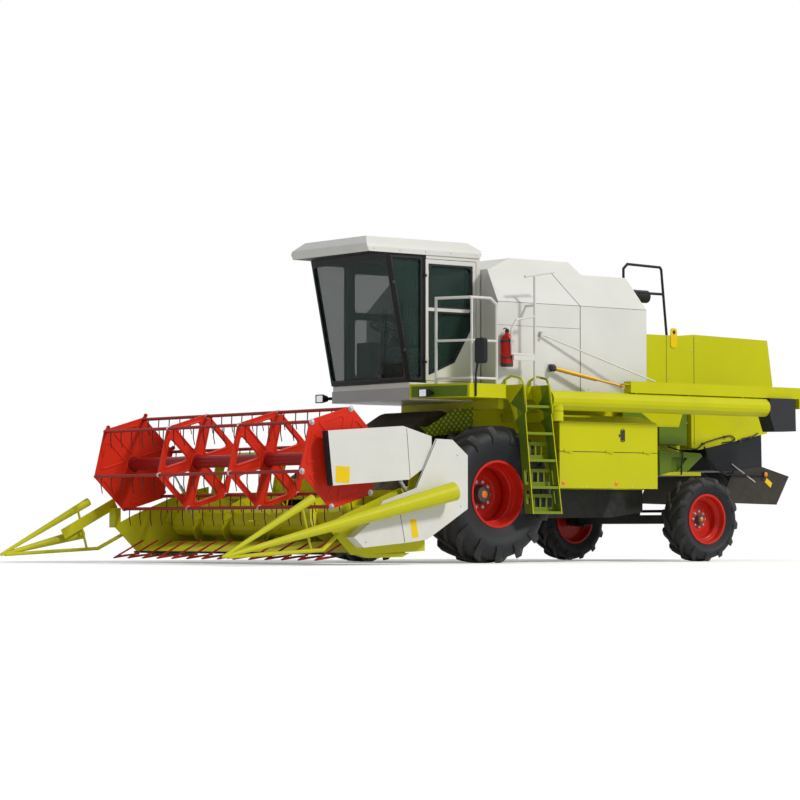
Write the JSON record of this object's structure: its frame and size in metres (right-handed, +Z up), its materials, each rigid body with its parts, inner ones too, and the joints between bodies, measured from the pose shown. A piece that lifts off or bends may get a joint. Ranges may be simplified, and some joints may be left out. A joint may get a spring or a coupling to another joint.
{
  "type": "combine harvester",
  "caption": "Self-propelled combine harvester with a grain header, tined reel, cab, grain tank, folded unloading auger and straw chopper.",
  "frame": {"origin": "on the ground under the middle of the overall length, on the centre plane", "axes": "+X forward towards the header, +Y to the left side, +Z up"},
  "size_m": [9.7603, 4.867, 3.744],
  "materials": {
    "lime_paint": "gloss",
    "white_paint": "satin",
    "red_paint": "gloss",
    "wheel_paint": "gloss",
    "panel_grey": "satin",
    "chassis_paint": "satin",
    "tyre": "matte",
    "rubber": "matte",
    "cab_glass": "gloss",
    "cab_trim": "matte",
    "steel": "satin",
    "plated": "satin"
  },
  "bodies": {
    "machine": {"auger_base": "lime_paint", "cab_base_panel": "panel_grey", "cab_frame": "white_paint", "cab_glass": "cab_glass", "cab_roof": "white_paint", "chopper": "chassis_paint", "controls": "cab_trim", "engine": "chassis_paint", "extinguisher": "red_paint", "frame": "chassis_paint", "front_axle": "chassis_paint", "grain_tank": "white_paint", "lamps_and_rails": "chassis_paint", "platform": "lime_paint", "railing": "white_paint", "rear_axle": "chassis_paint", "seat": "cab_trim", "side_panels": "lime_paint", "straw_hood": "lime_paint", "thresher_body": "lime_paint"},
    "header": {"feeder_house": "lime_paint", "header_frame": "lime_paint", "cutterbar": "red_paint", "dividers": "lime_paint", "end_cover": "white_paint"},
    "reel_frame": {"reel_arms": "lime_paint", "reel_guard": "white_paint"},
    "reel": {"reel": "red_paint"},
    "table_auger": {"table_auger": "lime_paint"},
    "control_star": {"control_star": "red_paint"},
    "lift_barrels": {"lift_barrels": "steel"},
    "lift_rods": {"lift_rods": "steel"},
    "reel_lift_barrels": {"reel_lift_barrels": "steel"},
    "reel_lift_rods": {"reel_lift_rods": "steel"},
    "front_wheel_left": {"tyre_front_left": "tyre", "wheel_front_left": "wheel_paint"},
    "front_wheel_right": {"tyre_front_right": "tyre", "wheel_front_right": "wheel_paint"},
    "rear_wheel_left": {"tyre_rear_left": "tyre", "wheel_rear_left": "wheel_paint"},
    "rear_wheel_right": {"tyre_rear_right": "tyre", "wheel_rear_right": "wheel_paint"},
    "knuckle_left": {"knuckle_left": "chassis_paint"},
    "knuckle_right": {"knuckle_right": "chassis_paint"},
    "track_rod": {"track_rod": "chassis_paint"},
    "cab_door": {"cab_door": "white_paint", "door_glass": "cab_glass"},
    "side_door_left": {"side_door_left": "lime_paint"},
    "side_door_right": {"side_door_right": "lime_paint"},
    "auger": {"auger_tube": "lime_paint", "auger_spout": "rubber"},
    "swing_barrel": {"swing_barrel": "plated"},
    "swing_rod": {"swing_rod": "plated"},
    "auger_stay": {"auger_stay": "white_paint"},
    "bat_1": {"bat_1": "red_paint"},
    "bat_2": {"bat_2": "red_paint"},
    "bat_3": {"bat_3": "red_paint"},
    "bat_4": {"bat_4": "red_paint"},
    "bat_5": {"bat_5": "red_paint"},
    "bat_6": {"bat_6": "red_paint"}
  },
  "joints": [
    {"name": "front_wheel_left_spin", "type": "hinge", "parent": "machine", "child": "front_wheel_left", "pos_m": [0.4565, 1.15, 0.79], "axis": [0, 1, 0], "continuous": true},
    {"name": "steer_left", "type": "hinge", "parent": "machine", "child": "knuckle_left", "pos_m": [-2.8725, 0.905, 0.512], "axis": [0, 0, 1], "range_deg": [-35, 35]},
    {"name": "rear_wheel_left_spin", "type": "hinge", "parent": "knuckle_left", "child": "rear_wheel_left", "pos_m": [-2.8725, 1.215, 0.512], "axis": [0, 1, 0], "continuous": true},
    {"name": "front_wheel_right_spin", "type": "hinge", "parent": "machine", "child": "front_wheel_right", "pos_m": [0.4565, -1.15, 0.79], "axis": [0, 1, 0], "continuous": true},
    {"name": "steer_right", "type": "hinge", "parent": "machine", "child": "knuckle_right", "pos_m": [-2.8725, -0.905, 0.512], "axis": [0, 0, 1], "range_deg": [-36, 36]},
    {"name": "rear_wheel_right_spin", "type": "hinge", "parent": "knuckle_right", "child": "rear_wheel_right", "pos_m": [-2.8725, -1.215, 0.512], "axis": [0, 1, 0], "continuous": true},
    {"name": "track_rod_slide", "type": "slide", "parent": "machine", "child": "track_rod", "axis": [0, 1, 0], "range_m": [-0.09, 0.09]},
    {"name": "header_lift", "type": "hinge", "parent": "machine", "child": "header", "pos_m": [0.6065, 0, 1.5], "axis": [0, -1, 0], "range_deg": [0, 20]},
    {"name": "lift_barrels_tilt", "type": "hinge", "parent": "machine", "child": "lift_barrels", "pos_m": [0.6265, 0, 0.72], "axis": [0, -1, 0], "range_deg": [0, 22.4]},
    {"name": "lift_rods_slide", "type": "slide", "parent": "lift_barrels", "child": "lift_rods", "axis": [0.9735, 0, -0.2285], "range_m": [0, 0.2745]},
    {"name": "table_auger_spin", "type": "hinge", "parent": "header", "child": "table_auger", "pos_m": [2.4665, 0, 0.48], "axis": [0, 1, 0], "continuous": true},
    {"name": "reel_lift", "type": "hinge", "parent": "header", "child": "reel_frame", "pos_m": [2.0165, 0, 1.25], "axis": [0, -1, 0], "range_deg": [0, 25]},
    {"name": "reel_lift_barrels_tilt", "type": "hinge", "parent": "header", "child": "reel_lift_barrels", "pos_m": [2.2365, 0, 0.56], "axis": [0, -1, 0], "range_deg": [0, 10.1]},
    {"name": "reel_lift_rods_slide", "type": "slide", "parent": "reel_lift_barrels", "child": "reel_lift_rods", "axis": [0.5513, 0, 0.8343], "range_m": [0, 0.2376]},
    {"name": "reel_spin", "type": "hinge", "parent": "reel_frame", "child": "reel", "pos_m": [3.1975, 0, 1.156], "axis": [0, 1, 0], "continuous": true},
    {"name": "bat_1_spin", "type": "hinge", "parent": "reel", "child": "bat_1", "pos_m": [3.59079, 0, 1.53184], "axis": [0, 1, 0], "continuous": true},
    {"name": "bat_2_spin", "type": "hinge", "parent": "reel", "child": "bat_2", "pos_m": [3.06866, 0, 1.68452], "axis": [0, 1, 0], "continuous": true},
    {"name": "bat_3_spin", "type": "hinge", "parent": "reel", "child": "bat_3", "pos_m": [2.67537, 0, 1.30868], "axis": [0, 1, 0], "continuous": true},
    {"name": "bat_4_spin", "type": "hinge", "parent": "reel", "child": "bat_4", "pos_m": [2.80421, 0, 0.78016], "axis": [0, 1, 0], "continuous": true},
    {"name": "bat_5_spin", "type": "hinge", "parent": "reel", "child": "bat_5", "pos_m": [3.32634, 0, 0.62748], "axis": [0, 1, 0], "continuous": true},
    {"name": "bat_6_spin", "type": "hinge", "parent": "reel", "child": "bat_6", "pos_m": [3.71963, 0, 1.00332], "axis": [0, 1, 0], "continuous": true},
    {"name": "control_star_spin", "type": "hinge", "parent": "reel_frame", "child": "control_star", "pos_m": [3.13622, -2.074, 1.20742], "axis": [0, 1, 0], "continuous": true},
    {"name": "cab_door_swing", "type": "hinge", "parent": "machine", "child": "cab_door", "pos_m": [1.0015, 0.74, 2.8], "axis": [0, 0, -1], "range_deg": [0, 58]},
    {"name": "side_door_left_lift", "type": "hinge", "parent": "machine", "child": "side_door_left", "pos_m": [-1.2785, 1.358, 1.3], "axis": [-1, 0, 0], "range_deg": [0, 90]},
    {"name": "side_door_right_lift", "type": "hinge", "parent": "machine", "child": "side_door_right", "pos_m": [-1.2785, -1.358, 1.3], "axis": [1, 0, 0], "range_deg": [0, 90]},
    {"name": "auger_swing", "type": "hinge", "parent": "machine", "child": "auger", "pos_m": [-0.3435, 1.45, 1.885], "axis": [0, 0, -1], "range_deg": [0, 95]},
    {"name": "swing_barrel_turn", "type": "hinge", "parent": "machine", "child": "swing_barrel", "pos_m": [-0.4435, 1.298, 2.27], "axis": [0, 0, -1], "range_deg": [0, 93.4]},
    {"name": "swing_rod_slide", "type": "slide", "parent": "swing_barrel", "child": "swing_rod", "axis": [-0.9693, 0.1535, -0.1918], "range_m": [0, 0.2755]},
    {"name": "auger_stay_turn", "type": "hinge", "parent": "machine", "child": "auger_stay", "pos_m": [-0.2935, 1.274, 2.66], "axis": [0, 0, -1], "range_deg": [0, 88.7]}
  ],
  "couplings": [
    {"joint": "steer_right", "follows": "steer_left", "ratio": 1},
    {"joint": "track_rod_slide", "follows": "steer_left", "m_per_rad": -0.145},
    {"joint": "lift_barrels_tilt", "follows": "header_lift", "ratio": 1.0723},
    {"joint": "lift_rods_slide", "follows": "header_lift", "m_per_rad": 0.77217},
    {"joint": "reel_lift_barrels_tilt", "follows": "reel_lift", "ratio": 0.36243},
    {"joint": "reel_lift_rods_slide", "follows": "reel_lift", "m_per_rad": 0.53319},
    {"joint": "bat_1_spin", "follows": "reel_spin", "ratio": -1},
    {"joint": "bat_2_spin", "follows": "reel_spin", "ratio": -1},
    {"joint": "bat_3_spin", "follows": "reel_spin", "ratio": -1},
    {"joint": "bat_4_spin", "follows": "reel_spin", "ratio": -1},
    {"joint": "bat_5_spin", "follows": "reel_spin", "ratio": -1},
    {"joint": "bat_6_spin", "follows": "reel_spin", "ratio": -1},
    {"joint": "control_star_spin", "follows": "reel_spin", "ratio": 1},
    {"joint": "swing_barrel_turn", "follows": "auger_swing", "ratio": 0.96729},
    {"joint": "swing_rod_slide", "follows": "auger_swing", "m_per_rad": 0.15713},
    {"joint": "auger_stay_turn", "follows": "auger_swing", "ratio": 0.91832}
  ]
}
